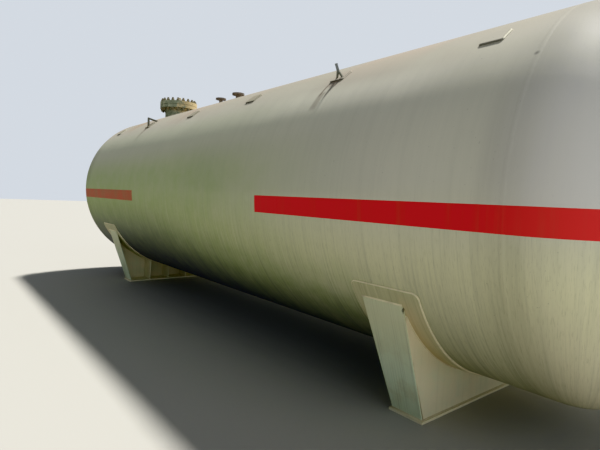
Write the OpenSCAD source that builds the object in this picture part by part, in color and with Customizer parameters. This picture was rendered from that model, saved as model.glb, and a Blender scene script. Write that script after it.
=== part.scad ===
// Horizontal pressure tank on two welded saddles. The shell is rolled from four
// plate courses and closed by dished heads. A bolted manhole and two flanged
// nozzles stand on its crown, and a row of clips with a lug and a bracket is
// welded high on each flank.
// Origin: on the floor, under the middle of the tank. X runs along the tank
// towards its near end, Y across it towards its back, Z up.

/* [Vessel] */
// Inside diameter of the shell
inside_dia = 2700; // [2200:50:3200]
// Thickness of the shell and head plates
plate = 16; // [10:1:30]
// Length of the shell between its two head seams
shell_len = 8000; // [7600:100:12000]
// Depth of a dished head inside, above its straight flange
head_depth = 675; // [560:5:900]
// Inside radius of a head's knuckle
knuckle_r = 467; // [250:1:500]
// Length of a head's straight flange
straight_flange = 40; // [25:1:80]

/* [Saddles] */
// Height of the shell's underside above the floor
shell_clear = 270; // [200:5:450]
// Distance from a head seam to the outer face of the nearer saddle's web
saddle_setback = 750; // [600:10:1500]
// Angle of the shell that a saddle carries
saddle_wrap = 117; // [100:1:130]
// Angle by which the wear pad passes the saddle at each horn
pad_lap = 5; // [3:0.5:10]
// Thickness of the wear pad
pad_t = 14; // [8:1:24]
// Overhang of the wear pad past the web, towards the head
pad_over_web = 155; // [80:5:250]
// Overhang of the wear pad past the ribs, away from the head
pad_over_ribs = 75; // [30:5:200]
// Radius of the wear pad's corners
pad_corner_r = 45; // [30:5:120]
// Thickness of the web
web_t = 14; // [8:1:24]
// Thickness of the end plates and ribs
rib_t = 14; // [8:1:24]
// Width of an end plate at its top
rib_top_w = 370; // [300:5:450]
// Width of an end plate at its foot
rib_foot_w = 275; // [200:5:300]
// Number of ribs between the two end plates
rib_count = 4; // [2:1:6]
// Radius of the copes in the web's upper corners
cope_r = 32; // [20:1:45]
// Length of a base plate, across the tank
base_len = 1780; // [1500:10:1900]
// Width of a base plate, along the tank
base_w = 310; // [300:5:400]
// Thickness of a base plate
base_t = 20; // [14:1:40]
// Step from the end of a base plate to the foot of an end plate
base_lip = 20; // [10:1:60]
// Diameter of the anchor holes
anchor_dia = 28; // [22:1:36]
// Length of the anchor slots under the near, sliding saddle
slot_len = 70; // [45:1:90]

/* [Manhole] */
// Distance of the manhole from the middle of the tank
manhole_x = 3100; // [2700:10:3300]
// Outside diameter of the manhole neck
manhole_neck_dia = 480; // [400:5:500]
// Wall of the manhole neck
manhole_neck_wall = 14; // [8:1:20]
// Height of the manhole's flange face above the crown of the shell
manhole_rise = 229; // [180:1:320]
// Outside diameter of the manhole flange and cover
manhole_flange_dia = 670; // [660:5:720]
// Thickness of the manhole flange
manhole_flange_t = 56; // [40:1:70]
// Depth of the hub that tapers from the flange to the neck
manhole_hub_h = 34; // [20:1:50]
// Diameter at the root of that hub
manhole_hub_dia = 512; // [505:1:530]
// Thickness of the manhole cover
manhole_cover_t = 60; // [40:1:75]
// Thickness of the gasket
gasket_t = 5; // [2:0.5:8]
// Outside diameter of the gasket
gasket_dia = 548; // [530:1:560]
// Bolt circle of the manhole
manhole_bolt_circle = 600; // [595:1:612]
// Number of manhole bolts
manhole_bolts = 20; // [12:4:24]
// Diameter of the manhole's bolt holes
manhole_bolt_hole = 36; // [26:1:36]
// Diameter of the bar that the cover's handle is bent from
handle_bar = 20; // [14:1:24]
// Span of the cover's handle
handle_span = 160; // [120:5:220]
// Height of the cover's handle
handle_rise = 100; // [75:5:130]

/* [Nozzles] */
// Distance of the small nozzle from the middle of the tank
small_nozzle_x = 1490; // [1300:10:1800]
// Outside diameter of the small nozzle's pipe
small_pipe_dia = 57; // [48:1:64]
// Outside diameter of the small nozzle's flange
small_flange_dia = 165; // [155:1:180]
// Thickness of the small nozzle's flange
small_flange_t = 22; // [16:1:30]
// Bolt circle of the small nozzle
small_bolt_circle = 125; // [118:1:130]
// Number of bolt holes in the small flange
small_bolt_count = 4; // [4:2:8]
// Distance of the large nozzle from the middle of the tank
large_nozzle_x = 955; // [700:10:1100]
// Outside diameter of the large nozzle's pipe
large_pipe_dia = 76; // [70:1:84]
// Outside diameter of the large nozzle's flange
large_flange_dia = 185; // [178:1:200]
// Thickness of the large nozzle's flange
large_flange_t = 26; // [16:1:32]
// Bolt circle of the large nozzle
large_bolt_circle = 145; // [138:1:150]
// Number of bolt holes in the large flange
large_bolt_count = 8; // [4:2:8]
// Wall of both nozzle pipes
pipe_wall = 5; // [4:0.5:8]
// Diameter of the bolt holes in both nozzle flanges
nozzle_bolt_hole = 18; // [14:1:20]
// Height of the nozzle flange faces above the crown of the shell
nozzle_rise = 166; // [120:1:240]

/* [Clips and lugs] */
// Angle of the row of clips up from the horizontal
clip_angle = 50.5; // [40:0.5:60]
// Length of a clip along the tank
clip_len = 150; // [120:5:200]
// Length of a clip around the tank
clip_girth = 143; // [120:1:180]
// Thickness of a clip
clip_t = 12; // [6:1:16]
// Radius of a clip's corners
clip_corner_r = 12; // [5:1:30]
// Distance of the end clips from the middle of the tank
end_clip_x = 3625; // [3500:5:3750]
// Distance of the lug and the bracket from the middle of the tank
lug_x = 2215; // [1900:5:2500]
// Thickness of the lug's plate
lug_t = 10; // [6:1:14]
// Thickness of the bracket's bar
bracket_t = 20; // [12:1:30]
// Width of the bracket's bar
bracket_w = 40; // [30:1:60]
// Height of the bracket's upright leg
bracket_leg = 135; // [110:5:180]
// Fall of the bracket's arm towards the shell
bracket_fall = 12; // [0:1:20]
// Distance of the lug from the middle of its clip, towards the near end
lug_off = 20; // [-25:1:25]
// Width of the lug's forked foot along the tank
lug_foot = 80; // [60:2:100]
// Height of the lug's foot above its clip
lug_foot_h = 54; // [45:1:90]
// Width of the lug's legs
lug_leg_w = 16; // [12:1:24]
// Length of the lug's stem above its foot
lug_stem = 66; // [30:2:100]
// Width of the lug's stem
lug_stem_w = 24; // [16:1:32]
// Lean of the lug away from the tank
lug_lean = 25; // [0:1:40]
// Step on each side from the lug's stem to the wider top of its foot
lug_shoulder = 3; // [2:0.5:6]

/* [Hidden] */

$fn = 96;
// Facets of the great circles of the shell, heads and saddles
shell_fn = 192;
// Allowance by which a cut passes a face
past = 5;

// Ends of the tank along X, and its flanks across Y
near = 1;
far = -1;
front = -1;
back = 1;

// Vessel
inner_r = inside_dia / 2;
outer_r = inner_r + plate;
axis_z = shell_clear + outer_r;
course_count = 4;
course_len = shell_len / course_count;
// Crown radius that meets the knuckle smoothly at the given depth
knuckle_x = inner_r - knuckle_r;
crown_r = (pow(head_depth, 2) + pow(knuckle_x, 2) - pow(knuckle_r, 2))
    / (2 * (head_depth - knuckle_r));
crown_z = head_depth - crown_r;

// Saddles
pad_r = outer_r + pad_t;
horn_angle = saddle_wrap / 2;
web_x = shell_len / 2 - saddle_setback;
foot_y = base_len / 2 - base_lip;
horn_y = pad_r * sin(horn_angle);
horn_z = axis_z - pad_r * cos(horn_angle);
// Lean of the end plates: how far they spread for each millimetre of height
end_lean = (horn_y - foot_y) / (horn_z - base_t);
// Thickness of an end plate measured level, because it leans
end_level_t = rib_t * sqrt(1 + pow(end_lean, 2));
rib_bay = 2 * foot_y / (rib_count + 1);
anchor_y = foot_y - rib_bay / 2;
// The bolt stands midway along a rib, clear of the web
anchor_x = web_x - web_t - (rib_foot_w - web_t) / 2;
base_mid_x = web_x - rib_foot_w / 2;

// Crown fittings
crown_top = axis_z + outer_r;
manhole_face = crown_top + manhole_rise;
cover_foot = manhole_face + gasket_t;
cover_top = cover_foot + manhole_cover_t;
nozzle_face = crown_top + nozzle_rise;
manhole_bore_dia = manhole_neck_dia - 2 * manhole_neck_wall;

// Clips, counted from the near end
clip_r = outer_r + clip_t;
clip_x = [end_clip_x, lug_x, 830, -660, -lug_x, -end_clip_x];
lug_clip = 1;
bracket_clip = 4;
// Half width of the lug's foot where its narrower stem leaves it
lug_neck = lug_stem_w / 2 + lug_shoulder;
// Distance y of a line a quarter of the way up a front clip, where the lug and
// the bracket stand
low_on_clip = -clip_r * cos(clip_angle - asin(clip_girth / clip_r / 4));

steel_cream = "#b9b7a0";
steel_grey = "#a9a78f";
steel_olive = "#6c6b4d";
steel_rust = "#6a4a34";
rubber_black = "#2f2d2a";

// A bar or bore along the tank's length
module along_x(r, x_from, x_to) {
    translate([x_from, 0, axis_z])
        rotate([0, 90, 0])
            cylinder(r = r, h = x_to - x_from, $fn = shell_fn);
}

// The holes that the crown fittings pass through
module crown_holes() {
    for (fitting = [
        [manhole_x, manhole_neck_dia],
        [small_nozzle_x, small_pipe_dia],
        [large_nozzle_x, large_pipe_dia]
    ])
        translate([-fitting[0], 0, axis_z])
            cylinder(d = fitting[1], h = outer_r + past);
}

// One rolled course of the shell, counted from the near end
module shell_course(number) {
    near_end = shell_len / 2 - (number - 1) * course_len;
    far_end = near_end - course_len;
    color(steel_cream)
        difference() {
            along_x(outer_r, far_end, near_end);
            along_x(inner_r, far_end - past, near_end + past);
            crown_holes();
        }
}

// Half section of a dished head, grown by t from its inside face
module head_section(t) {
    wedge_h = crown_r + t + past;
    wedge_x = wedge_h * knuckle_x / -crown_z;
    intersection() {
        union() {
            translate([knuckle_x, 0])
                circle(r = knuckle_r + t, $fn = shell_fn);
            intersection() {
                translate([0, crown_z])
                    circle(r = crown_r + t, $fn = 2 * shell_fn);
                polygon([[0, crown_z], [wedge_x, crown_z + wedge_h], [0, crown_z + wedge_h]]);
            }
        }
        square([inner_r + t, head_depth + t]);
    }
    translate([0, -straight_flange])
        square([inner_r + t, straight_flange]);
}

// A dished head: crown, knuckle and straight flange pressed in one plate
module head(side) {
    color(steel_cream)
        translate([side * (shell_len / 2 + straight_flange), 0, axis_z])
            rotate([0, side * 90, 0])
                rotate_extrude($fn = shell_fn)
                    difference() {
                        head_section(plate);
                        head_section(0);
                        translate([0, -straight_flange - past])
                            square([inner_r, past]);
                    }
}

// Places a near saddle's piece at either end of the tank
module saddle_side(side) {
    if (side == far)
        mirror([1, 0, 0]) children();
    else
        children();
}

// Outline of the wear pad seen from the side, with its upper corners rounded
module pad_outline() {
    low_x = web_x - rib_top_w - pad_over_ribs;
    high_x = web_x + pad_over_web;
    top_z = axis_z - pad_r * cos(horn_angle + pad_lap);
    corner_z = top_z - pad_corner_r;
    translate([low_x, 0])
        square([high_x - low_x, corner_z]);
    translate([low_x + pad_corner_r, 0])
        square([high_x - low_x - 2 * pad_corner_r, top_z]);
    for (x = [low_x + pad_corner_r, high_x - pad_corner_r])
        translate([x, corner_z])
            circle(r = pad_corner_r);
}

// The wear pad, rolled to the shell and welded all round
module saddle_pad(side) {
    color(steel_cream)
        saddle_side(side)
            intersection() {
                difference() {
                    along_x(pad_r, 0, shell_len / 2);
                    along_x(outer_r, -past, shell_len / 2 + past);
                }
                translate([0, outer_r + pad_t + past, 0])
                    rotate([90, 0, 0])
                        linear_extrude(2 * (outer_r + pad_t + past))
                            pad_outline();
            }
}

// Half width of a saddle, at the outer face of its end plates, by height
function saddle_half(z) = foot_y + end_lean * (z - base_t);

// Height at which the inner face of an end plate meets the wear pad
function web_corner_z() =
    let (
        c = foot_y - end_level_t,
        h = axis_z - base_t,
        b = h - end_lean * c,
        a = 1 + pow(end_lean, 2)
    )
    base_t + (b - sqrt(pow(b, 2) - a * (pow(c, 2) + pow(h, 2) - pow(pad_r, 2)))) / a;

// Cross section of the saddle between its outer faces, drawn in by inset
module saddle_profile(inset) {
    polygon([
        [-saddle_half(base_t) + inset, base_t], [saddle_half(base_t) - inset, base_t],
        [saddle_half(axis_z) - inset, axis_z], [-saddle_half(axis_z) + inset, axis_z]
    ]);
}

// The material under the wear pad and below the horns, as a solid cut
module under_pad(x_from, x_to) {
    difference() {
        translate([x_from, -pad_r, 0])
            cube([x_to - x_from, 2 * pad_r, horn_z]);
        along_x(pad_r, x_from - past, x_to + past);
    }
}

// Turns a section drawn across the tank into a slab from x_from to x_to
module slab_across(x_from, x_to) {
    translate([x_from, 0, 0])
        rotate([90, 0, 90])
            linear_extrude(x_to - x_from)
                children();
}

// The web: one plate across the tank, coped at its two upper corners
module saddle_web(side) {
    corner_z = web_corner_z();
    corner_y = saddle_half(corner_z) - end_level_t;
    color(steel_cream)
        saddle_side(side)
            difference() {
                intersection() {
                    slab_across(web_x - web_t, web_x)
                        saddle_profile(end_level_t);
                    under_pad(web_x - web_t - past, web_x + past);
                }
                for (flank = [front, back])
                    translate([web_x - web_t - past, flank * corner_y, corner_z])
                        rotate([0, 90, 0])
                            cylinder(r = cope_r, h = web_t + 2 * past);
            }
}

// Side view of an end plate or rib, wider at the top than at the foot
module rib_outline(web_face) {
    polygon([
        [web_face, base_t], [web_face, horn_z],
        [web_x - rib_top_w, horn_z], [web_x - rib_foot_w, base_t]
    ]);
}

// Cuts a slab along the tank to the outline of a rib
module cut_to_rib(web_face) {
    intersection() {
        translate([0, pad_r, 0])
            rotate([90, 0, 0])
                linear_extrude(2 * pad_r)
                    rib_outline(web_face);
        under_pad(web_x - rib_top_w, web_x);
        children();
    }
}

// An end plate, leaning outwards from the base plate to the horn of the saddle
module saddle_end_plate(side, flank) {
    color(steel_grey)
        saddle_side(side)
            cut_to_rib(web_x)
                slab_across(web_x - rib_top_w, web_x)
                    intersection() {
                        difference() {
                            saddle_profile(0);
                            saddle_profile(end_level_t);
                        }
                        translate([flank == front ? -pad_r : 0, 0])
                            square([pad_r, axis_z]);
                    }
}

// The upright ribs between the end plates, on the inner side of the web
module saddle_ribs(side) {
    color(steel_grey)
        saddle_side(side)
            for (n = [1 : rib_count])
                cut_to_rib(web_x - web_t)
                    translate([web_x - rib_top_w, -foot_y + n * rib_bay - rib_t / 2, base_t])
                        cube([rib_top_w, rib_t, horn_z]);
}

// An anchor hole: round under the fixed saddle, a slot under the sliding one
module anchor_hole(side) {
    if (side == near) {
        square([slot_len - anchor_dia, anchor_dia], center = true);
        for (end = [-1, 1])
            translate([end * (slot_len - anchor_dia) / 2, 0])
                circle(d = anchor_dia);
    } else
        circle(d = anchor_dia);
}

// The base plate, with an anchor hole in the outer bay at each end
module saddle_base(side) {
    color(steel_grey)
        saddle_side(side)
            linear_extrude(base_t)
                difference() {
                    translate([base_mid_x - base_w / 2, -base_len / 2])
                        square([base_w, base_len]);
                    for (flank = [front, back])
                        translate([anchor_x, flank * anchor_y])
                            anchor_hole(side);
                }
}

// A pipe set into the crown of the shell and cut flush with its inside
module crown_pipe(dia, pipe_t, top_z) {
    difference() {
        translate([0, 0, axis_z])
            cylinder(d = dia, h = top_z - axis_z);
        translate([0, 0, axis_z - past])
            cylinder(d = dia - 2 * pipe_t, h = top_z - axis_z + 2 * past);
        along_x(inner_r, -dia, dia);
    }
}

// Bolt holes on a circle, through a flange
module bolt_holes(circle_dia, count, hole_dia, z_from, z_to) {
    for (n = [0 : count - 1])
        rotate([0, 0, (n + 0.5) * 360 / count])
            translate([circle_dia / 2, 0, z_from - past])
                cylinder(d = hole_dia, h = z_to - z_from + 2 * past, $fn = 32);
}

module manhole_neck() {
    color(steel_olive)
        translate([-manhole_x, 0, 0])
            crown_pipe(manhole_neck_dia, manhole_neck_wall,
                manhole_face - manhole_flange_t - manhole_hub_h);
}

// The neck flange, with a hub that tapers down to the neck
module manhole_flange() {
    foot = manhole_face - manhole_flange_t;
    bore_r = manhole_bore_dia / 2;
    color(steel_olive)
        translate([-manhole_x, 0, 0])
            difference() {
                rotate_extrude($fn = shell_fn)
                    polygon([
                        [bore_r, foot - manhole_hub_h],
                        [manhole_neck_dia / 2, foot - manhole_hub_h],
                        [manhole_hub_dia / 2, foot],
                        [manhole_flange_dia / 2, foot],
                        [manhole_flange_dia / 2, manhole_face],
                        [bore_r, manhole_face]
                    ]);
                bolt_holes(manhole_bolt_circle, manhole_bolts, manhole_bolt_hole,
                    foot, manhole_face);
            }
}

module manhole_gasket() {
    color(rubber_black)
        translate([-manhole_x, 0, manhole_face])
            difference() {
                cylinder(d = gasket_dia, h = gasket_t);
                translate([0, 0, -past])
                    cylinder(d = manhole_bore_dia, h = gasket_t + 2 * past);
            }
}

module manhole_cover() {
    color(steel_olive)
        translate([-manhole_x, 0, 0])
            difference() {
                translate([0, 0, cover_foot])
                    cylinder(d = manhole_flange_dia, h = manhole_cover_t, $fn = shell_fn);
                bolt_holes(manhole_bolt_circle, manhole_bolts, manhole_bolt_hole,
                    cover_foot, cover_top);
            }
}

// A handle of round bar, bent up, across and down on the middle of the cover
module manhole_handle() {
    bend_r = 1.5 * handle_bar;
    half_span = handle_span / 2;
    arm_z = handle_rise - handle_bar / 2;
    color(steel_olive)
        translate([-manhole_x, 0, cover_top]) {
            for (end = [0, 1])
                mirror([end, 0, 0]) {
                    translate([half_span, 0, 0])
                        cylinder(d = handle_bar, h = arm_z - bend_r, $fn = 32);
                    translate([half_span - bend_r, 0, arm_z - bend_r])
                        rotate([90, 0, 0])
                            rotate_extrude(angle = 90, $fn = 64)
                                translate([bend_r, 0])
                                    circle(d = handle_bar, $fn = 32);
                }
            translate([-half_span + bend_r, 0, arm_z])
                rotate([0, 90, 0])
                    cylinder(d = handle_bar, h = 2 * (half_span - bend_r), $fn = 32);
        }
}

// A flat nozzle flange, bored to slip over its pipe
module nozzle_flange(x, pipe_dia, dia, thick, circle_dia, count) {
    color(steel_rust)
        translate([-x, 0, 0])
            difference() {
                translate([0, 0, nozzle_face - thick])
                    cylinder(d = dia, h = thick);
                translate([0, 0, nozzle_face - thick - past])
                    cylinder(d = pipe_dia, h = thick + 2 * past);
                bolt_holes(circle_dia, count, nozzle_bolt_hole,
                    nozzle_face - thick, nozzle_face);
            }
}

module nozzle_pipe(x, pipe_dia) {
    color(steel_rust)
        translate([-x, 0, 0])
            crown_pipe(pipe_dia, pipe_wall, nozzle_face);
}

// Mirrors a front piece to the back of the tank
module flank_side(flank) {
    if (flank == back)
        mirror([0, 1, 0]) children();
    else
        children();
}

// A square with round corners, centred
module round_rect(w, h, r) {
    square([w - 2 * r, h], center = true);
    square([w, h - 2 * r], center = true);
    for (x = [-1, 1], y = [-1, 1])
        translate([x * (w / 2 - r), y * (h / 2 - r)])
            circle(r = r);
}

// The room that a clip takes, out to its outer face
module clip_room(number) {
    intersection() {
        along_x(clip_r, clip_x[number] - clip_len, clip_x[number] + clip_len);
        translate([clip_x[number], 0, axis_z])
            rotate([90 - clip_angle, 0, 0])
                translate([0, 0, outer_r / 2])
                    linear_extrude(outer_r)
                        round_rect(clip_len, clip_girth, clip_corner_r);
    }
}

// The shell beside a clip, as a solid bar
module shell_at_clip(number) {
    along_x(outer_r, clip_x[number] - clip_len - past, clip_x[number] + clip_len + past);
}

// A clip: plate rolled to the shell, and welded to it round its edge
module clip(flank, number) {
    color(steel_cream)
        flank_side(flank)
            difference() {
                clip_room(number);
                shell_at_clip(number);
            }
}

// Cuts a piece to sit on a clip and on the shell beside it
module seat_on_clip(number) {
    difference() {
        children();
        shell_at_clip(number);
        clip_room(number);
    }
}

// Height of a clip's outer face at a distance y from the tank's middle plane
function clip_z(y) = axis_z + sqrt(pow(clip_r, 2) - pow(y, 2));

// Outline of the lug: two legs that close to a stem
module lug_outline() {
    half = lug_foot / 2;
    difference() {
        union() {
            polygon([
                [-half, -lug_foot_h], [half, -lug_foot_h], [half, 0],
                [lug_neck, lug_foot_h], [-lug_neck, lug_foot_h], [-half, 0]
            ]);
            translate([-lug_stem_w / 2, 0])
                square([lug_stem_w, lug_foot_h + lug_stem]);
        }
        polygon([
            [-half + lug_leg_w, -lug_foot_h - past], [half - lug_leg_w, -lug_foot_h - past],
            [half - lug_leg_w, 0], [0, lug_foot_h - lug_leg_w], [-half + lug_leg_w, 0]
        ]);
    }
}

// The lug: cut from plate, and welded to its clip so that it leans off the tank
module lug(flank) {
    color(steel_olive)
        flank_side(flank)
            seat_on_clip(lug_clip)
                translate([clip_x[lug_clip] + lug_off, low_on_clip, clip_z(low_on_clip)])
                    rotate([90 + lug_lean, 0, 0])
                        translate([0, 0, -lug_t / 2])
                            linear_extrude(lug_t)
                                lug_outline();
}

// The bracket: a bar bent sharply, with an upright outer leg on its clip and an
// arm that falls back to the shell
module bracket(flank) {
    outer_y = low_on_clip - bracket_t / 2;
    inner_y = low_on_clip + bracket_t / 2;
    foot_z = clip_z(low_on_clip) - bracket_t;
    top_z = clip_z(low_on_clip) + bracket_leg;
    end_y = low_on_clip / 2;
    end_z = top_z - (end_y - outer_y) * tan(bracket_fall);
    arm_depth = bracket_t / cos(bracket_fall);
    color(steel_olive)
        flank_side(flank)
            seat_on_clip(bracket_clip)
                slab_across(clip_x[bracket_clip] - bracket_w / 2, clip_x[bracket_clip] + bracket_w / 2)
                    polygon([
                        [outer_y, foot_z], [outer_y, top_z], [end_y, end_z], [end_y, end_z - arm_depth],
                        [inner_y, top_z - bracket_t * tan(bracket_fall) - arm_depth], [inner_y, foot_z]
                    ]);
}

shell_course(1);  // shell_course_1
shell_course(2);  // shell_course_2
shell_course(3);  // shell_course_3
shell_course(4);  // shell_course_4
head(near);  // near_head
head(far);  // far_head
saddle_pad(near);  // near_saddle_pad
saddle_web(near);  // near_saddle_web
saddle_end_plate(near, front);  // near_saddle_front_plate
saddle_end_plate(near, back);  // near_saddle_back_plate
saddle_ribs(near);  // near_saddle_ribs
saddle_base(near);  // near_saddle_base
saddle_pad(far);  // far_saddle_pad
saddle_web(far);  // far_saddle_web
saddle_end_plate(far, front);  // far_saddle_front_plate
saddle_end_plate(far, back);  // far_saddle_back_plate
saddle_ribs(far);  // far_saddle_ribs
saddle_base(far);  // far_saddle_base
manhole_neck();
manhole_flange();
manhole_gasket();
manhole_cover();
manhole_handle();
nozzle_pipe(small_nozzle_x, small_pipe_dia);  // small_nozzle_pipe
nozzle_flange(small_nozzle_x, small_pipe_dia, small_flange_dia, small_flange_t,  // small_nozzle_flange
        small_bolt_circle, small_bolt_count);
nozzle_pipe(large_nozzle_x, large_pipe_dia);  // large_nozzle_pipe
nozzle_flange(large_nozzle_x, large_pipe_dia, large_flange_dia, large_flange_t,  // large_nozzle_flange
        large_bolt_circle, large_bolt_count);
clip(front, 0);  // front_clip_1
clip(front, 1);  // front_clip_2
clip(front, 2);  // front_clip_3
clip(front, 3);  // front_clip_4
clip(front, 4);  // front_clip_5
clip(front, 5);  // front_clip_6
clip(back, 0);  // back_clip_1
clip(back, 1);  // back_clip_2
clip(back, 2);  // back_clip_3
clip(back, 3);  // back_clip_4
clip(back, 4);  // back_clip_5
clip(back, 5);  // back_clip_6
lug(front);  // front_lug
lug(back);  // back_lug
bracket(front);  // front_bracket
bracket(back);  // back_bracket
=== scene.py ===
"""The looks of a horizontal pressure tank: weathered paint, welds, studs and rust round its CAD frame."""

import math

import bmesh
import bpy
from mathutils import Matrix, Vector


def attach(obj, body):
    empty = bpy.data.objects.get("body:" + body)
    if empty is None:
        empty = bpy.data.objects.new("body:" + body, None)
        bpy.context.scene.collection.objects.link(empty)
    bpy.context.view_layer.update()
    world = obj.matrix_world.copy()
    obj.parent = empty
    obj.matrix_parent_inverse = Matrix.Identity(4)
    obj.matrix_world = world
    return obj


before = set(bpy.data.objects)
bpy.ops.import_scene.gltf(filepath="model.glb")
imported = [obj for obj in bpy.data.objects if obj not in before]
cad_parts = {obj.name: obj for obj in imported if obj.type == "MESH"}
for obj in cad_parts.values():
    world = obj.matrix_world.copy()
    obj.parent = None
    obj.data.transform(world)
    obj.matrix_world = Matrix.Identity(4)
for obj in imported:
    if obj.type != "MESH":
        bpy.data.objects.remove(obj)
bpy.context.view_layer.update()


# The view: an eye at standing height, close to the near end, that looks along
# the front flank towards the far end.
eye = Vector((5.182, -3.681, 1.614))
eye_turn, eye_dip, eye_roll = 50.79, 3.34, 2.5
film_width, lens = 36, 27.43

camera = bpy.data.objects.new("camera", bpy.data.cameras.new("camera"))
camera.data.sensor_width = film_width
camera.data.lens = lens
camera.matrix_world = (
    Matrix.Translation(eye)
    @ Matrix.Rotation(math.radians(eye_turn), 4, "Z")
    @ Matrix.Rotation(math.radians(90 - eye_dip), 4, "X")
    @ Matrix.Rotation(math.radians(eye_roll), 4, "Z")
)
bpy.context.scene.collection.objects.link(camera)
bpy.context.scene.camera = camera
bpy.context.scene.view_settings.view_transform = "Khronos PBR Neutral"


# The yard floor: a wide pale slab that the two saddles stand on, under a pale
# even sky. A soft high lamp behind the tank lights its crown, and a dim broad
# one low by its near end fills the shade.
floor_reach = 60
floor_colour = (0.405, 0.40, 0.37, 1)
floor_roughness = 0.9
sky_colour = (0.80, 0.85, 0.92, 1)
sky_strength, sky_seen = 0.32, 0.88
lamp_colour = (1.0, 0.97, 0.92)
fill_colour = (0.90, 0.95, 1.0)

slab = bmesh.new()
bmesh.ops.create_grid(slab, x_segments=1, y_segments=1, size=floor_reach)
floor_mesh = bpy.data.meshes.new("floor")
slab.to_mesh(floor_mesh)
slab.free()
floor = bpy.data.objects.new("floor", floor_mesh)
bpy.context.scene.collection.objects.link(floor)
floor_paint = bpy.data.materials.new("floor")
floor_paint.use_nodes = True
floor_shader = floor_paint.node_tree.nodes["Principled BSDF"]
floor_shader.inputs["Base Color"].default_value = floor_colour
floor_shader.inputs["Roughness"].default_value = floor_roughness
floor.data.materials.append(floor_paint)

sky = bpy.data.worlds.new("sky")
sky.use_nodes = True
sky_light = sky.node_tree.nodes["Background"]
sky_light.inputs["Color"].default_value = sky_colour
# The eye sees the sky brighter than the light that falls from it
dimmer = sky.node_tree.nodes.new("ShaderNodeMapRange")
dimmer.inputs["To Min"].default_value = sky_strength
dimmer.inputs["To Max"].default_value = sky_seen
ray = sky.node_tree.nodes.new("ShaderNodeLightPath")
sky.node_tree.links.new(ray.outputs["Is Camera Ray"], dimmer.inputs["Value"])
sky.node_tree.links.new(dimmer.outputs["Result"], sky_light.inputs["Strength"])
bpy.context.scene.world = sky

for name, colour, height, bearing, strength, softness in (
    ("lamp", lamp_colour, 61, 0, 6.55, 5),
    ("fill", fill_colour, 12, 94, 1.0, 60),
):
    lamp = bpy.data.objects.new(name, bpy.data.lights.new(name, "SUN"))
    lamp.data.energy = strength
    lamp.data.angle = math.radians(softness)
    lamp.data.color = colour
    aside = Matrix.Rotation(math.radians(-bearing), 4, "Z")
    lamp.matrix_world = aside @ Matrix.Rotation(math.radians(height - 90), 4, "X")
    bpy.context.scene.collection.objects.link(lamp)


# The shell and heads: four rolled courses and two dished heads of 16 mm plate,
# sprayed cream over grey. Rain runs and algae have stained the lower half, and
# two red stripes run along each flank and round the heads. Painted light and
# painted shade are laid into the paint as well.
axis_z = 1.636
shell_r = 1.366
head_seam = 4.0
stripe_top, stripe_foot = 1.624, 1.471
near_stripe_end, far_stripe_end = 1.664, -1.587
manhole_x, small_nozzle_x, large_nozzle_x, fitting_x = -3.1, -1.49, -0.955, 2.215
stripe_ragged = 0.0016
seam_pit, pit_r = (3.990, -1.083, 2.469), 0.024
tank_gloss = 0.16
cream = (0.60, 0.59, 0.50, 1)
cool_grey = (0.49, 0.50, 0.445, 1)
# The crown greys are greyer and darker than the cream as painted shade, toning down the lamp's strong
# light on the top
crown_shade_grey = (0.33, 0.31, 0.255, 1)
dusty_crown = (0.43, 0.35, 0.285, 1)
top_shade_grey = (0.295, 0.295, 0.285, 1)
# The yellowing of the lower half is partly a painted reflection of yellow-green light from plants
yellowed_and_plant_light = (0.70, 0.68, 0.435, 1)
pale_cream = (0.74, 0.72, 0.62, 1)
# The flank facing the lamp is darkened with this grey as painted shade, against the lamp's strong light
lamp_side_shade = (0.43, 0.41, 0.345, 1)
# The near head's warm and cool tones are painted ground light low down and painted sky light in front
head_ground_light = (0.62, 0.57, 0.41, 1)
head_sky_light = (0.625, 0.61, 0.595, 1)
# The algae green is partly real algae and partly a painted reflection of green light from plants
algae_and_green_light = (0.30, 0.40, 0.13, 1)
pale_algae = (0.56, 0.62, 0.40, 1)
# The dark algae and the under-shade also stand for painted shade on the belly and at the foot
dark_algae_and_shade = (0.10, 0.115, 0.105, 1)
under_shade = (0.105, 0.10, 0.135, 1)
# The dark runs also serve as painted shade beside the head seams and on the far clips and beads
dark_runs_and_shade = (0.17, 0.165, 0.09, 1)
run_soft = (0.42, 0.43, 0.36, 1)
run_pale = (0.72, 0.70, 0.50, 1)
# The grime is also painted shade: low on the flank, across its middle, beside the head seams, at the near
# head's foot and under the clips' low edges
grime_and_shade = (0.05, 0.053, 0.052, 1)
# A painted highlight on the near clips' beads
bead_highlight = (0.92, 0.88, 0.72, 1)
rust_stain = (0.33, 0.20, 0.105, 1)
# Also painted shadow below the lug and its clip
smear_and_shadow = (0.16, 0.12, 0.095, 1)
stripe_red = (0.68, 0.036, 0.042, 1)
stripe_dusty = (0.36, 0.165, 0.09, 1)


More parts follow.
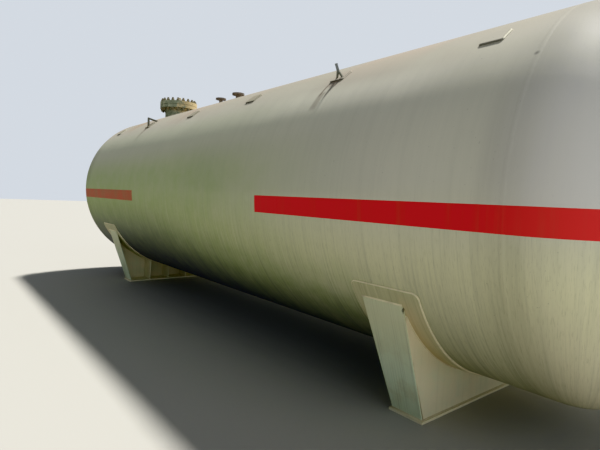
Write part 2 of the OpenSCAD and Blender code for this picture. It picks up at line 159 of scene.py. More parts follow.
class Coat:
    """One value, place or colour in a finish; sums written with it become its nodes"""

    def __init__(self, tree, socket):
        self.tree = tree
        self.socket = socket

    def node(self, kind, settings, sockets, output=0):
        """One node of any kind, with its settings and what its sockets are given"""
        made = self.tree.nodes.new(kind)
        for name, value in settings.items():
            setattr(made, name, value)
        for name, value in sockets.items():
            if isinstance(value, Coat):
                self.tree.links.new(value.socket, made.inputs[name])
            else:
                made.inputs[name].default_value = value
        return Coat(self.tree, made.outputs[output])

    def maths(self, operation, *values):
        """One Math node, on coats or plain numbers"""
        return self.node("ShaderNodeMath", {"operation": operation}, dict(enumerate(values)))

    def __add__(self, other):
        return self.maths("ADD", self, other)

    def __sub__(self, other):
        return self.maths("SUBTRACT", self, other)

    def __rsub__(self, other):
        return self.maths("SUBTRACT", other, self)

    def __mul__(self, other):
        return self.maths("MULTIPLY", self, other)

    def __gt__(self, other):
        return self.maths("GREATER_THAN", self, other)

    def __lt__(self, other):
        return self.maths("LESS_THAN", self, other)

    def __abs__(self):
        return self.maths("ABSOLUTE", self)

    __radd__ = __add__
    __rmul__ = __mul__

    def between(self, start, end):
        """0 up to start and 1 from end on, soft between them; end may be the lower of the two"""
        return self.node(
            "ShaderNodeMapRange",
            {"interpolation_type": "SMOOTHSTEP"},
            {"Value": self, "From Min": start, "From Max": end},
        )

    def distance_to(self, point):
        """How far this place is from a point"""
        return self.node("ShaderNodeVectorMath", {"operation": "DISTANCE"}, {0: self, 1: point}, 1)

    def over(self, under, paint):
        """This much of a paint over the coat under it"""
        return self.node("ShaderNodeMix", {"data_type": "RGBA"}, {0: self, 6: under, 7: paint}, 2)


def new_finish(name):
    """A finish with its shader, and the place on the tank that its pattern reads"""
    finish = bpy.data.materials.new(name)
    finish.use_nodes = True
    tree = finish.node_tree
    place = Coat(tree, tree.nodes.new("ShaderNodeTexCoord").outputs["Object"])
    return finish, tree.nodes["Principled BSDF"], place


def axes_of(place):
    """A place's x, y and z"""
    return [place.node("ShaderNodeSeparateXYZ", {}, {0: place}, axis) for axis in range(3)]


def cloud(place, scale, detail, x=None, y=0.0, z=0.0):
    """Even noise at a place, or at one worked out from x, y and z"""
    if x is not None:
        place = place.node("ShaderNodeCombineXYZ", {}, {0: x, 1: y, 2: z})
    grain = {"Vector": place, "Scale": scale, "Detail": detail, "Roughness": 0.6}
    return place.node("ShaderNodeTexNoise", {}, grain)


def wear_with(shader, colour, roughness, height, strength, distance):
    """Joins a finish's colour, roughness and relief to its shader"""
    tree = colour.tree
    tree.links.new(colour.socket, shader.inputs["Base Color"])
    if isinstance(roughness, Coat):
        tree.links.new(roughness.socket, shader.inputs["Roughness"])
    else:
        shader.inputs["Roughness"].default_value = roughness
    bumps = {"Strength": strength, "Distance": distance, "Height": height}
    relief = colour.node("ShaderNodeBump", {}, bumps)
    tree.links.new(relief.socket, shader.inputs["Normal"])


def finish_nodes(names, finish):
    """Puts a finish on CAD nodes"""
    for name in names:
        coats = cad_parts[name].data.materials
        coats.clear()
        coats.append(finish)


tank_paint, tank_shader, tank_place = new_finish("tank_paint")
tank_x, tank_y, tank_z = axes_of(tank_place)
past_seam = abs(tank_x) - head_seam
on_head = past_seam > 0.0
at_back = tank_y > 0.0
# Distance round the tank as rain sees it: along the front, round a head, back
turn = past_seam.maths("ARCTAN2", tank_y, past_seam)
side = tank_x.maths("SIGN", tank_x)
round_head = side * (head_seam + shell_r * (turn + math.pi / 2))
half_turn = shell_r * math.pi
along_back = 2 * head_seam + half_turn - tank_x
along = tank_x * (1.0 - at_back) + along_back * at_back
run_x = along * (1.0 - on_head) + round_head * on_head

patches = cloud(tank_place, 0.7, 3.0)
mottle = cloud(tank_place, 4.5, 5.0)
dashes = cloud(tank_place, 1.0, 2.0, run_x * 150.0, 0.0, tank_z * 14.0)
fine_runs = cloud(tank_place, 1.0, 3.0, run_x * 46.0, 7.0, tank_z * 1.1)
broad_runs = cloud(tank_place, 1.0, 4.0, run_x * 14.0, 3.0, tank_z * 0.5)
spots = cloud(tank_place, 60.0, 2.0)

# Where the weather, the painted light and the painted shade work: heights first,
# then lengths, and the back flank, which faces the lamp
crown = tank_z.between(2.35, 2.95)
crown_top = tank_z.between(2.82, 2.98)
shoulder = tank_z.between(2.40, 2.80)
lower_half = tank_z.between(1.80, 1.15)
flank_foot = tank_z.between(1.35, 0.40)
foot = tank_z.between(0.95, 0.15)
near_end = tank_x.between(3.75, 4.30)
near_saddle_zone = tank_x.between(2.6, 3.6)
washed_x = tank_x.between(1.0, 1.9) * tank_x.between(3.7, 3.0)
mid_x = tank_x.between(-0.6, 0.6) * tank_x.between(3.6, 2.8)
sunny = tank_y.between(0.1, 0.9)

# The near head is kept clear of the algae and of the painted green light and painted
# shade low down. The far end carries most of them, on its flank away from the lamp
off_near_head = 1.0 - near_end
far_end = (1.0 - 0.8 * sunny) * tank_x.between(3.3, 0.2)
far_flank = far_end * tank_z.between(2.40, 1.80)
far_low = far_end * tank_x.between(1.0, -3.0) * tank_z.between(1.95, 1.35)
far_crown = far_end * tank_z.between(2.15, 2.35) * tank_z.between(2.65, 2.40)
low_flank_green = off_near_head * flank_foot * (1.0 - 0.7 * sunny) * (1.0 - 0.9 * near_saddle_zone)
low_flank_dark = off_near_head * flank_foot * (1.0 - 0.6 * near_saddle_zone)
far_foot = off_near_head * foot * (1.0 - near_saddle_zone)

# A paler band high on the flank, a band of painted shade across the middle of the front flank,
# painted shade low by the near saddle, and the painted shade of the belly, which climbs towards
# the far end
pale_band = washed_x * tank_z.between(2.28, 2.40) * tank_z.between(2.62, 2.44)
mid_band = mid_x * tank_z.between(1.60, 1.70) * tank_z.between(2.30, 2.05) * (1.0 - sunny)
near_foot = near_saddle_zone * off_near_head * tank_z.between(1.35, 0.7)
shade_line = tank_z - 0.4 * tank_x.between(2.0, -1.5)
in_shade = shade_line.between(1.20, 0.25) * (1.0 - near_saddle_zone) * (1.0 - 0.8 * sunny)

# The near head: paler in front with painted sky light, warmer low down with painted
# ground light, and darker on top and at its foot as painted shade; and the strips
# beside both head seams, darkened as painted shade
head_height = tank_z.between(1.40, 1.66) * tank_z.between(2.6, 2.2)
head_front = near_end * tank_y.between(0.30, -1.28) * head_height
head_crown = near_end * tank_z.between(2.3, 2.6)
head_belly = near_end * tank_z.between(1.4, 0.5)
head_foot = near_end * tank_z.between(1.30, 0.90)
on_seam = abs(past_seam).between(0.02, 0.004) * tank_z.between(2.1, 2.3)
by_seam = abs(past_seam).between(0.24, 0.05)
seam_low = by_seam * tank_z.between(2.5, 1.2)
seam_mid = by_seam * tank_z.between(1.5, 1.9) * tank_z.between(2.5, 2.2)
in_pit = tank_place.distance_to(seam_pit).between(pit_r, 0.0)

# High on the flanks only the clips and the beads round them stand proud of the shell. The near
# beads get a painted highlight, the far clips and beads painted shade, and the clips' low edges a
# painted shadow
from_axis = tank_y.maths("SQRT", tank_y * tank_y + (tank_z - axis_z) * (tank_z - axis_z))
off_shell = from_axis.between(shell_r + 0.001, shell_r + 0.002)
proud = (abs(tank_x) < 3.9) * off_shell * tank_z.between(2.55, 2.60)
on_bead = proud * from_axis.between(shell_r + 0.0115, shell_r + 0.0100)
low_edge = proud * tank_z.between(2.662, 2.645)

# Every coat and stain, from the first sprayed on to the last that weather left,
# with the painted light and painted shade laid in among them
coat = (patches.between(0.38, 0.66) * 0.20).over(cream, cool_grey)
for share, stain in (
    (crown, crown_shade_grey),
    (shoulder * patches.between(0.44, 0.60) * 0.4, dusty_crown),
    (crown_top * 0.8, top_shade_grey),
    (lower_half * 0.8, yellowed_and_plant_light),
    (pale_band * 0.6, pale_cream),
    (sunny * 0.75, lamp_side_shade),
    (head_belly * 0.7, head_ground_light),
    (far_flank * (0.42 + 0.40 * mottle), algae_and_green_light),
    (far_crown * 0.30, pale_algae),
    (far_low * (0.35 + 0.4 * mottle), algae_and_green_light),
    (low_flank_green * (0.45 + 0.5 * mottle.between(0.3, 0.7)), algae_and_green_light),
    (far_foot * (0.30 + 0.5 * far_end), dark_algae_and_shade),
    (broad_runs.between(0.30, 0.62) * (1.0 - crown) * 0.08, run_soft),
    (dashes.between(0.52, 0.68) * (0.02 + 0.16 * lower_half), dark_runs_and_shade),
    (broad_runs.between(0.5, 0.66) * (0.02 + 0.36 * low_flank_dark), dark_algae_and_shade),
    (fine_runs.between(0.48, 0.68) * (0.02 + 0.09 * lower_half + 0.30 * low_flank_dark), dark_algae_and_shade),
    (near_foot * 0.14, grime_and_shade),
    (fine_runs.between(0.48, 0.3) * (0.02 + 0.18 * lower_half), run_pale),
    (foot * (0.30 + 0.5 * broad_runs) * (1.0 - 0.5 * near_saddle_zone), grime_and_shade),
    (in_shade * (0.56 + 0.45 * mottle), under_shade),
    (sunny * broad_runs.between(0.50, 0.66) * (0.08 + 0.25 * lower_half), dark_runs_and_shade),
    (sunny * fine_runs.between(0.50, 0.62) * 0.15, dark_runs_and_shade),
    (spots.between(0.70, 0.78) * 0.3, grime_and_shade),
    (mid_band * 0.06, grime_and_shade),
    (on_seam * 0.15, cream),
    (seam_low * (0.03 + 0.20 * broad_runs), dark_runs_and_shade),
    (seam_mid * 0.12, grime_and_shade),
    (head_front * 0.75, head_sky_light),
    (head_crown * 0.5, top_shade_grey),
    (head_foot * 0.09, grime_and_shade),
    (on_bead * abs(tank_x).between(2.4, 3.4) * 0.6, bead_highlight),
    (proud * tank_x.between(2.0, 0.9) * 0.35, dark_runs_and_shade),
    (low_edge * 0.8, grime_and_shade),
    (in_pit * 0.55, grime_and_shade),
):
    coat = share.over(coat, stain)

# Rust washed down from the manhole, the two nozzles and the far brackets
washed = fine_runs.between(0.30, 0.60) * mottle.between(0.25, 0.60)
for rust_x, rust_width, rust_top, rust_foot, strength in (
    (manhole_x, 0.30, 3.00, 2.55, 0.75),
    (small_nozzle_x, 0.06, 3.00, 2.55, 0.60),
    (large_nozzle_x, 0.09, 3.00, 2.50, 0.60),
    (-fitting_x, 0.06, 2.67, 2.35, 0.35),
):
    under = abs(tank_x - rust_x).between(1.3 * rust_width, 0.3 * rust_width)
    below = tank_z.between(rust_foot, rust_top) * tank_z.between(rust_top + 0.03, rust_top)
    coat = (under * below * washed * strength).over(coat, rust_stain)
# Dark brown lines down from the lug's feet, and below the lug and its clip a broad smear and a strip that
# are painted shadow
for dark_x, dark_width, dark_top, dark_foot, strength in (
    (2.150, 0.012, 2.62, 2.47, 0.75),
    (2.232, 0.012, 2.60, 2.45, 0.60),
    (2.170, 0.045, 2.52, 2.34, 0.40),
    (2.215, 0.065, 2.63, 2.56, 0.60),
):
    under = abs(tank_x - dark_x).between(1.3 * dark_width, 0.3 * dark_width)
    below = tank_z.between(dark_foot, dark_foot + 0.06) * tank_z.between(dark_top + 0.03, dark_top)
    coat = (under * below * strength).over(coat, smear_and_shadow)

# The stripes, masked off with an edge that is ragged by under a millimetre
edge = stripe_ragged * (cloud(tank_place, 25.0, 3.0) - 0.5)
in_height = ((tank_z + edge) < stripe_top) * ((tank_z + edge) > stripe_foot)
near_stripe = in_height * ((tank_x + edge) > near_stripe_end)
far_stripe = in_height * ((tank_x + edge) < far_stripe_end)
fresh = (0.15 * broad_runs.between(0.5, 0.7)).over(stripe_red, stripe_dusty)
fresh = (0.035 * near_end).over(fresh, run_pale)
faded = (0.55 + 0.3 * mottle.between(0.3, 0.7)).over(stripe_red, stripe_dusty)
coat = near_stripe.over(coat, fresh)
coat = (far_stripe * 0.92).over(coat, faded)

dullness = 0.50 + 0.10 * lower_half + 0.42 * crown
peel = 0.9 * cloud(tank_place, 1.6, 1.0) + 0.012 * cloud(tank_place, 220.0, 1.0)
tank_shader.inputs["Specular IOR Level"].default_value = tank_gloss
wear_with(tank_shader, coat, dullness, peel, strength=0.35, distance=0.03)
finish_nodes([f"shell_course_{number}" for number in range(1, 5)], tank_paint)
finish_nodes(("near_head", "far_head"), tank_paint)


# The seam welds: low beads where the courses meet each other and the heads,
# ground back, flush where the tank is widest, and painted over with the shell,
# the heads' a little prouder.
course_len = 2.0
seam_width, head_rise, course_rise = 0.034, 0.0008, 0.0005
seam_sunk = 0.0001
seam_steps = 192
flush_y = 1.3659
merge_gap = 0.00001


def weld_onto_tank(metal, name, finish):
    """Makes a finished mesh a piece of the tank"""
    bmesh.ops.remove_doubles(metal, verts=metal.verts, dist=merge_gap)
    bmesh.ops.recalc_face_normals(metal, faces=metal.faces)
    mesh = bpy.data.meshes.new(name)
    metal.to_mesh(mesh)
    metal.free()
    for face in mesh.polygons:
        face.use_smooth = True
    mesh.materials.append(finish)
    piece = bpy.data.objects.new(name, mesh)
    bpy.context.scene.collection.objects.link(piece)
    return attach(piece, "root")


def upright_ring(metal, radius, filled=False):
    """The eight-sided outline of a bead, stood upright facing along y"""
    ring = bmesh.ops.create_circle(metal, segments=8, radius=radius, cap_ends=filled)["verts"]
    bmesh.ops.rotate(metal, cent=(0, 0, 0), matrix=Matrix.Rotation(math.pi / 2, 3, "X"), verts=ring)
    return ring


def spin_round(metal, axis, steps):
    """Spins an outline once round the origin, closed on itself"""
    bmesh.ops.spin(
        metal,
        geom=metal.verts[:] + metal.edges[:],
        cent=(0, 0, 0),
        axis=axis,
        angle=math.tau,
        steps=steps,
        use_merge=True,
    )


for number in range(1, 6):
    seam_x = head_seam - (number - 1) * course_len
    # The first and last seams join the heads
    rise = head_rise if number in (1, 5) else course_rise
    # The ring's second corners lie at the bead's edges, just under the shell, so that the bead
    # fades into the plate
    half_width = seam_width * math.sqrt(0.5)
    half_depth = (rise + seam_sunk) / (1 - math.sqrt(0.5))
    bead = bmesh.new()
    upright_ring(bead, 1.0)
    bmesh.ops.scale(bead, vec=(half_width, 1.0, half_depth), verts=bead.verts)
    bmesh.ops.translate(bead, vec=(seam_x, 0, shell_r + rise - half_depth), verts=bead.verts)
    spin_round(bead, (1, 0, 0), seam_steps)
    for point in bead.verts:
        point.co.y = max(-flush_y, min(flush_y, point.co.y))
    bmesh.ops.translate(bead, vec=(0, 0, axis_z), verts=bead.verts)
    weld_onto_tank(bead, f"seam_weld_{number}", tank_paint)


# The clips: six small pads of 12 mm plate high on each flank, rolled to the
# shell and fillet-welded all round, in the shell's own paint.
clip_t, clip_len, clip_girth, clip_corner = 0.012, 0.150, 0.143, 0.012
clip_angle = math.radians(50.5)
clip_places = (3.625, fitting_x, 0.83, -0.66, -fitting_x, -3.625)
clip_bead, clip_bead_lift = 0.009, 0.001
bead_sides, edge_points = 6, 32
clip_bends = 5


def edge_bead(width, girth, corner, bead, lift):
    """A weld bead round a flat plate with round corners, as rings bridged to a tube"""
    tube = bmesh.new()
    rings = []
    for step in range(bead_sides):
        lean = math.tau * step / bead_sides
        radius = corner + bead * math.cos(lean)
        ring = bmesh.ops.create_circle(tube, segments=edge_points, radius=radius)["verts"]
        half_step = Matrix.Rotation(math.pi / edge_points, 3, "Z")
        bmesh.ops.rotate(tube, cent=(0, 0, 0), matrix=half_step, verts=ring)
        for corner_point in ring:
            corner_point.co.x += math.copysign(width / 2 - corner, corner_point.co.x)
            corner_point.co.y += math.copysign(girth / 2 - corner, corner_point.co.y)
            corner_point.co.z = lift + bead * math.sin(lean)
        rings.append({edge for point in ring for edge in point.link_edges})
    for step in range(bead_sides):
        bmesh.ops.bridge_loops(tube, edges=list(rings[step] | rings[step - 1]))
    return tube


def roll_to_shell(flat, pitch, middle):
    """Cuts a flat mesh across at every pitch, clear of its own points, and rolls it to the shell"""
    off_points = 0.37
    reach = max(abs(point.co.y) for point in flat.verts)
    for step in range(-int(reach / pitch), int(reach / pitch) + 1):
        bmesh.ops.bisect_plane(
            flat,
            geom=flat.verts[:] + flat.edges[:] + flat.faces[:],
            plane_co=(0, (step + off_points) * pitch, 0),
            plane_no=(0, 1, 0),
        )
    for point in flat.verts:
        angle = middle + point.co.y / shell_r
        out = shell_r + point.co.z
        point.co.y, point.co.z = -out * math.cos(angle), axis_z + out * math.sin(angle)


def add_to(whole, part):
    """Adds one part to the others of its piece"""
    lent = bpy.data.meshes.new("lent")
    part.to_mesh(lent)
    part.free()
    whole.from_mesh(lent)
    bpy.data.meshes.remove(lent)


clip_welds = bmesh.new()
for flank in (1, -1):
    for clip_x in clip_places:
        bead = edge_bead(clip_len, clip_girth, clip_corner, clip_bead, clip_bead_lift)
        roll_to_shell(bead, clip_girth / clip_bends, clip_angle)
        bmesh.ops.translate(bead, vec=(clip_x, 0, 0), verts=bead.verts)
        bmesh.ops.scale(bead, vec=(1, flank, 1), verts=bead.verts)
        add_to(clip_welds, bead)
weld_onto_tank(clip_welds, "clip_welds", tank_paint)

for flank in ("front", "back"):
    finish_nodes([f"{flank}_clip_{number}" for number in range(1, 7)], tank_paint)


# The lugs and brackets: a forked lug cut from plate on the second clip, and a
# sharply bent bar on the fifth, of bare steel gone olive, tacked at their feet.
tack = 0.0045
lug_x, leg_reach, leg_w, lug_t = 2.235, 0.032, 0.016, 0.010
bracket_w, bracket_t = 0.040, 0.020
stem_foot, stem_top = 2.70, 2.76
lug_steel = (0.15, 0.155, 0.125, 1)
lug_rust = (0.17, 0.125, 0.085, 1)
# Painted sky light on the tops of the lug stems
stem_sky_light = (0.27, 0.30, 0.325, 1)

lug_finish, lug_shader, lug_place = new_finish("lug_steel")
lug_coat = cloud(lug_place, 30.0, 4.0).between(0.52, 0.70).over(lug_steel, lug_rust)
# The lugs' stems are bluish grey near the top as painted sky light, and the brackets, at the far end,
# have none
lug_at_x, _, lug_at_z = axes_of(lug_place)
on_stem = lug_at_z.between(stem_foot, stem_top) * lug_at_x.between(0.0, 1.0)
lug_coat = (on_stem * (0.5 + 0.5 * cloud(lug_place, 14.0, 3.0))).over(lug_coat, stem_sky_light)
wear_with(lug_shader, lug_coat, 0.75, cloud(lug_place, 160.0, 3.0), strength=0.4, distance=0.002)


def add_bar(whole, sides, radius, length, place):
    """A bar or disc with so many sides, capped at both ends, where a matrix puts it"""
    bmesh.ops.create_cone(
        whole,
        segments=sides,
        radius1=radius,
        radius2=radius,
        depth=length,
        cap_ends=True,
        matrix=place,
    )


def straight_bead(whole, start, end, bead):
    """A straight run of weld between two points"""
    start, end = Vector(start), Vector(end)
    run = end - start
    turned = run.to_track_quat("Z", "Y").to_matrix().to_4x4()
    add_bar(whole, 8, bead, run.length, Matrix.Translation((start + end) / 2) @ turned)


tacks = bmesh.new()
# Lugs and brackets stand halfway from a clip's middle to its low edge
clip_r = shell_r + clip_t
low_on_clip = clip_r * math.cos(clip_angle - math.asin(clip_girth / clip_r / 4))
for flank in (1, -1):
    for out in (-1, 1):
        for leg_x in (lug_x - leg_reach, lug_x + leg_reach):
            y = low_on_clip + out * lug_t / 2
            z = axis_z + math.sqrt(clip_r**2 - y**2)
            left, right = leg_x - leg_w / 2, leg_x + leg_w / 2
            straight_bead(tacks, (left, -flank * y, z), (right, -flank * y, z), tack)
        y = low_on_clip + out * bracket_t / 2
        z = axis_z + math.sqrt(clip_r**2 - y**2)
        left, right = -fitting_x - bracket_w / 2, -fitting_x + bracket_w / 2
        straight_bead(tacks, (left, -flank * y, z), (right, -flank * y, z), tack)
weld_onto_tank(tacks, "lug_tacks", lug_finish)

finish_nodes(("front_lug", "back_lug", "front_bracket", "back_bracket"), lug_finish)


# The saddles: a wear pad rolled to the shell, a web and ribs cut to the pad,
# and leaning end plates on a base plate, all welded. The paint is the shell's,
# greener on the end plates and ochre where rain drips past the web.
web_x, web_t, rib_t, base_t, pad_t = 3.250, 0.014, 0.014, 0.020, 0.014
pad_r = shell_r + pad_t
pad_mid_x, pad_width, pad_corner = 3.105, 0.600, 0.045
pad_girth = 2 * math.radians(63.5) * shell_r
horn_y, horn_z, foot_y = 1.1766, 0.9149, 0.870
end_lean = (horn_y - foot_y) / (horn_z - base_t)
plate_top_w, plate_foot_w, plate_bead_top = 0.370, 0.275, 0.825
rib_count, rib_bay, rib_top_w = 4, 0.348, 0.300
web_corner = math.radians(54.4)
pad_pitch, web_steps = 0.05, 60
pad_bead, web_bead, rib_bead, corner_bead = 0.008, 0.007, 0.006, 0.005
pad_bead_lift = 0.005
cope_x, cope_y, cope_z, cope_tall = 3.252, 1.163, 0.875, 2
saddle_gloss = 0.2
pad_green = (0.53, 0.515, 0.325, 1)
web_beige = (0.90, 0.81, 0.58, 1)
end_green = (0.69, 0.78, 0.58, 1)
end_olive = (0.66, 0.67, 0.46, 1)
web_shade = (0.80, 0.75, 0.54, 1)
saddle_ochre = (0.68, 0.57, 0.35, 1)
saddle_bead = (0.84, 0.78, 0.56, 1)
# Painted shadow for the open cope at the web's upper corner
cope_shadow = (0.03, 0.03, 0.028, 1)
saddle_dirt = (0.15, 0.14, 0.085, 1)
soil_splash = (0.20, 0.165, 0.105, 1)


def saddle_finish(name, base, second, upper, run_share, across_x, across_y, ochre, splash):
    """Weathered paint on saddle plate, with rain runs and soil splashed on its foot"""
    finish, shader, place = new_finish(name)
    x, y, z = axes_of(place)
    clouds = cloud(place, 4.0, 5.0)
    runs = cloud(place, 1.0, 3.0, x * across_x, y * across_y, z * 1.2)
    coat = (clouds.between(0.40, 0.68) * 0.45).over(base, second)
    coat = (z.between(0.30, 0.80) * 0.9).over(coat, upper)
    from_middle = abs(x)
    past_web = from_middle.between(3.21, 3.25) * (1.0 - 0.6 * from_middle.between(3.26, 3.41))
    drips = past_web * z.between(1.02, 0.82)
    coat = (drips * (0.5 + 0.5 * clouds) * ochre).over(coat, saddle_ochre)
    coat = (runs.between(0.50, 0.68) * run_share).over(coat, saddle_dirt)
    coat = (runs.between(0.46, 0.30) * run_share).over(coat, web_beige)
    coat = (z.between(0.34, 0.02) * splash * (0.4 + clouds)).over(coat, soil_splash)
    # The open cope at the web's upper corner, painted as a dark patch of shade twice as tall as wide
    corner = place.node("ShaderNodeCombineXYZ", {}, {0: from_middle, 1: abs(y), 2: z * (1 / cope_tall)})
    from_cope = corner.distance_to((cope_x, cope_y, cope_z / cope_tall))
    ragged = from_cope + 0.02 * (cloud(place, 60.0, 3.0) - 0.5)
    coat = (ragged.between(0.015, 0.006) * 0.85).over(coat, cope_shadow)
    shader.inputs["Specular IOR Level"].default_value = saddle_gloss
    relief = 0.3 * clouds + 0.02 * cloud(place, 180.0, 2.0)
    wear_with(shader, coat, 0.65, relief, strength=0.3, distance=0.01)
    return finish


pad_paint = saddle_finish(
    "pad_paint", pad_green, end_green, pad_green,
    run_share=0.20, across_x=40.0, across_y=0.0, ochre=1.15, splash=0.3,
)
saddle_paint = saddle_finish(
    "saddle_paint", web_shade, end_green, web_beige,
    run_share=0.06, across_x=22.0, across_y=22.0, ochre=0.25, splash=0.2,
)
end_paint = saddle_finish(
    "end_plate_paint", end_green, pad_green, end_olive,
    run_share=0.18, across_x=90.0, across_y=0.0, ochre=0.0, splash=0.1,
)
bead_paint = saddle_finish(
    "saddle_bead_paint", saddle_bead, web_beige, saddle_bead,
    run_share=0.20, across_x=12.0, across_y=12.0, ochre=0.3, splash=0.5,
)

for name, end in (("near", 1), ("far", -1)):
    welds = bmesh.new()
    pad_edge = edge_bead(pad_width, pad_girth, pad_corner, pad_bead, pad_bead_lift)
    roll_to_shell(pad_edge, pad_pitch, -math.pi / 2)
    bmesh.ops.translate(pad_edge, vec=(pad_mid_x, 0, 0), verts=pad_edge.verts)
    add_to(welds, pad_edge)

    for face_x in (web_x, web_x - web_t):
        arc = bmesh.new()
        ring = upright_ring(arc, web_bead, filled=True)
        bmesh.ops.translate(arc, vec=(face_x, 0, -pad_r), verts=ring)
        bmesh.ops.rotate(arc, cent=(0, 0, 0), matrix=Matrix.Rotation(-web_corner, 3, "X"), verts=ring)
        bmesh.ops.spin(
            arc,
            geom=arc.faces[:],
            cent=(0, 0, 0),
            axis=(1, 0, 0),
            angle=2 * web_corner,
            steps=web_steps,
        )
        bmesh.ops.translate(arc, vec=(0, 0, axis_z), verts=arc.verts)
        add_to(welds, arc)
        straight_bead(welds, (face_x, -foot_y, base_t), (face_x, foot_y, base_t), web_bead)

    for flank in (1, -1):
        for width, y, z in ((plate_top_w, horn_y, horn_z), (plate_foot_w, foot_y, base_t)):
            straight_bead(welds, (web_x - width, flank * y, z), (web_x, flank * y, z), pad_bead)
        low_y = foot_y - rib_t
        high_y = low_y + end_lean * (plate_bead_top - base_t)
        for face_x in (web_x, web_x - web_t):
            low, high = (face_x, flank * low_y, base_t), (face_x, flank * high_y, plate_bead_top)
            straight_bead(welds, low, high, corner_bead)

    for number in range(1, rib_count + 1):
        rib_y = number * rib_bay - foot_y
        for face_y in (rib_y - rib_t / 2, rib_y + rib_t / 2):
            rib_top = axis_z - math.sqrt(pad_r**2 - face_y**2)
            low, high = (web_x - web_t, face_y, base_t), (web_x - web_t, face_y, rib_top)
            straight_bead(welds, (web_x - plate_foot_w, face_y, base_t), low, rib_bead)
            straight_bead(welds, (web_x - rib_top_w, face_y, rib_top), high, rib_bead)
            straight_bead(welds, low, high, rib_bead)

    bmesh.ops.scale(welds, vec=(end, 1, 1), verts=welds.verts)
    weld_onto_tank(welds, f"{name}_saddle_welds", bead_paint)
    for paint, parts in (
        (pad_paint, ("pad",)),
        (saddle_paint, ("web", "ribs", "base")),
        (end_paint, ("front_plate", "back_plate")),
    ):
        finish_nodes([f"{name}_saddle_{part}" for part in parts], paint)


# The manhole: a neck set into the crown, a hubbed flange, a thick blind cover
# over a rubber ring, and twenty studs with a nut and a washer at each end. The
# old olive paint has flaked to rust, and its side towards the lamp is painted
# ochre as painted light.
neck_r, bolt_circle_r = 0.240, 0.300
flange_foot, cover_top, hub_foot = 3.175, 3.296, 3.141
handle_half, handle_r = 0.08, 0.010
neck_bead, hub_bead, ring_steps = 0.012, 0.004, 72
stud_count, stud_r, stud_top, stud_foot = 20, 0.0165, 3.350, 3.124
nut_across, nut_h, nut_chamfer = 0.050, 0.026, 0.003
washer_r, washer_h = 0.030, 0.004
lit_side_x, lit_side_y = 0.41, 0.91
olive = (0.23, 0.255, 0.18, 1)
olive_faded = (0.36, 0.38, 0.27, 1)
# Ochre of rust and of painted light on the side towards the lamp
rust_and_lit_ochre = (0.56, 0.44, 0.24, 1)
manhole_shade = (0.05, 0.05, 0.03, 1)
stud_olive = (0.13, 0.14, 0.10, 1)
stud_rust = (0.32, 0.24, 0.13, 1)
rubber_black = (0.02, 0.02, 0.018, 1)
rubber_dust = (0.07, 0.065, 0.05, 1)

manhole_paint, manhole_shader, manhole_at = new_finish("manhole_paint")
cover_x, cover_y, _ = axes_of(manhole_at)
flakes = cloud(manhole_at, 9.0, 6.0)
crust = cloud(manhole_at, 40.0, 5.0)
# The side towards the lamp turns ochre: partly rust flakes, partly painted light
toward_lit_side = (cover_x - manhole_x) * lit_side_x + cover_y * lit_side_y
lit_side = toward_lit_side.between(-0.22, 0.26)
manhole_coat = flakes.between(0.42, 0.62).over(olive, olive_faded)
lit_rust = (flakes + 0.34 * lit_side - 0.10).between(0.50, 0.62) * (0.45 + 0.5 * lit_side)
manhole_coat = lit_rust.over(manhole_coat, rust_and_lit_ochre)
manhole_coat = (crust.between(0.58, 0.72) * 0.6).over(manhole_coat, manhole_shade)
wear_with(manhole_shader, manhole_coat, 0.75, crust + 0.5 * flakes, strength=0.5, distance=0.003)

stud_finish, stud_shader, stud_at = new_finish("stud_steel")
stud_coat = cloud(stud_at, 70.0, 4.0).between(0.42, 0.62).over(stud_olive, stud_rust)
wear_with(stud_shader, stud_coat, 0.7, cloud(stud_at, 300.0, 3.0), strength=0.4, distance=0.001)

gasket_finish, gasket_shader, gasket_at = new_finish("gasket_rubber")
gasket_coat = (cloud(gasket_at, 30.0, 3.0) * 0.6).over(rubber_black, rubber_dust)
gasket_grain = cloud(gasket_at, 120.0, 2.0)
wear_with(gasket_shader, gasket_coat, 0.85, gasket_grain, strength=0.3, distance=0.001)


def ring_weld(whole, centre_x, ring_r, height, bead, on_crown=False):
    """A ring of weld round an upright pipe; on the crown it dips with the shell"""
    ring = bmesh.new()
    start = upright_ring(ring, bead)
    bmesh.ops.translate(ring, vec=(ring_r, 0, height), verts=start)
    spin_round(ring, (0, 0, 1), ring_steps)
    for point in ring.verts:
        if on_crown:
            point.co.z -= shell_r - math.sqrt(shell_r**2 - point.co.y**2)
        point.co.x += centre_x
    add_to(whole, ring)


manhole_welds = bmesh.new()
ring_weld(manhole_welds, manhole_x, neck_r, axis_z + shell_r, neck_bead, on_crown=True)
ring_weld(manhole_welds, manhole_x, neck_r, hub_foot, hub_bead)
for foot_x in (manhole_x - handle_half, manhole_x + handle_half):
    ring_weld(manhole_welds, foot_x, handle_r, cover_top, hub_bead)
weld_onto_tank(manhole_welds, "manhole_welds", manhole_paint)

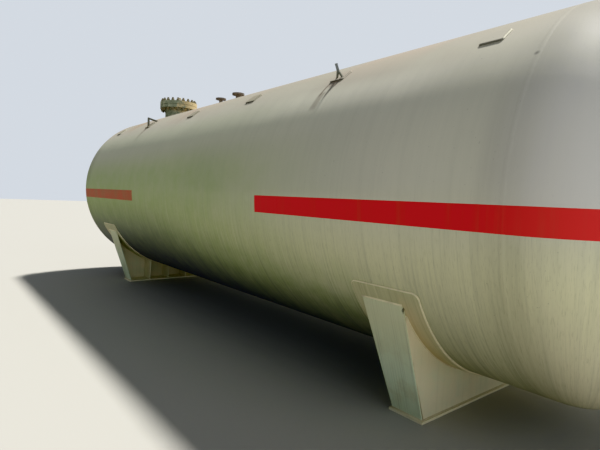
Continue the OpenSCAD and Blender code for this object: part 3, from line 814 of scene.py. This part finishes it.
studs = bmesh.new()
for number in range(stud_count):
    around = math.tau * (number + 0.5) / stud_count
    at = Vector((manhole_x + bolt_circle_r * math.cos(around), bolt_circle_r * math.sin(around), 0))
    middle = at + Vector((0, 0, (stud_top + stud_foot) / 2))
    add_bar(studs, 16, stud_r, stud_top - stud_foot, Matrix.Translation(middle))
    for washer_z in (cover_top + washer_h / 2, flange_foot - washer_h / 2):
        add_bar(studs, 20, washer_r, washer_h, Matrix.Translation(at + Vector((0, 0, washer_z))))
    for nut_z in (cover_top + washer_h + nut_h / 2, flange_foot - washer_h - nut_h / 2):
        nut = bmesh.new()
        add_bar(nut, 6, nut_across / math.sqrt(3), nut_h, Matrix.Rotation(around, 4, "Z"))
        rims = [edge for edge in nut.edges if edge.verts[0].co.z * edge.verts[1].co.z > 0]
        bmesh.ops.bevel(
            nut,
            geom=rims,
            offset=nut_chamfer,
            segments=1,
            profile=0.5,
            affect="EDGES",
            material=-1,
        )
        bmesh.ops.translate(nut, vec=at + Vector((0, 0, nut_z)), verts=nut.verts)
        add_to(studs, nut)
stud_ring = weld_onto_tank(studs, "manhole_studs", stud_finish)
# Nuts and washers keep their flat faces
for face in stud_ring.data.polygons:
    face.use_smooth = False

finish_nodes(("manhole_neck", "manhole_flange", "manhole_cover", "manhole_handle"), manhole_paint)
finish_nodes(("manhole_gasket",), gasket_finish)


# The nozzles: two short pipes set into the crown, each with a flat slip-on
# flange welded to it, left open and unpainted, and rusted dark brown.
nozzle_face = 3.168
pipe_bead, slip_bead = 0.007, 0.005
rust_dark = (0.16, 0.14, 0.12, 1)
rust_brown = (0.23, 0.18, 0.135, 1)
rust_bright = (0.46, 0.34, 0.21, 1)

nozzle_rust, nozzle_shader, nozzle_at = new_finish("nozzle_rust")
scale_marks = cloud(nozzle_at, 22.0, 6.0)
nozzle_coat = scale_marks.between(0.40, 0.62).over(rust_dark, rust_brown)
nozzle_coat = (cloud(nozzle_at, 50.0, 4.0).between(0.58, 0.72) * 0.8).over(nozzle_coat, rust_bright)
nozzle_pits = scale_marks + 0.4 * cloud(nozzle_at, 150.0, 4.0)
wear_with(nozzle_shader, nozzle_coat, 0.85, nozzle_pits, strength=0.5, distance=0.003)

nozzle_welds = bmesh.new()
for nozzle_x, pipe_r, flange_t in ((small_nozzle_x, 0.0285, 0.022), (large_nozzle_x, 0.038, 0.026)):
    ring_weld(nozzle_welds, nozzle_x, pipe_r, axis_z + shell_r, pipe_bead, on_crown=True)
    ring_weld(nozzle_welds, nozzle_x, pipe_r, nozzle_face - flange_t, slip_bead)
weld_onto_tank(nozzle_welds, "nozzle_welds", nozzle_rust)
finish_nodes(("small_nozzle_pipe", "small_nozzle_flange"), nozzle_rust)
finish_nodes(("large_nozzle_pipe", "large_nozzle_flange"), nozzle_rust)
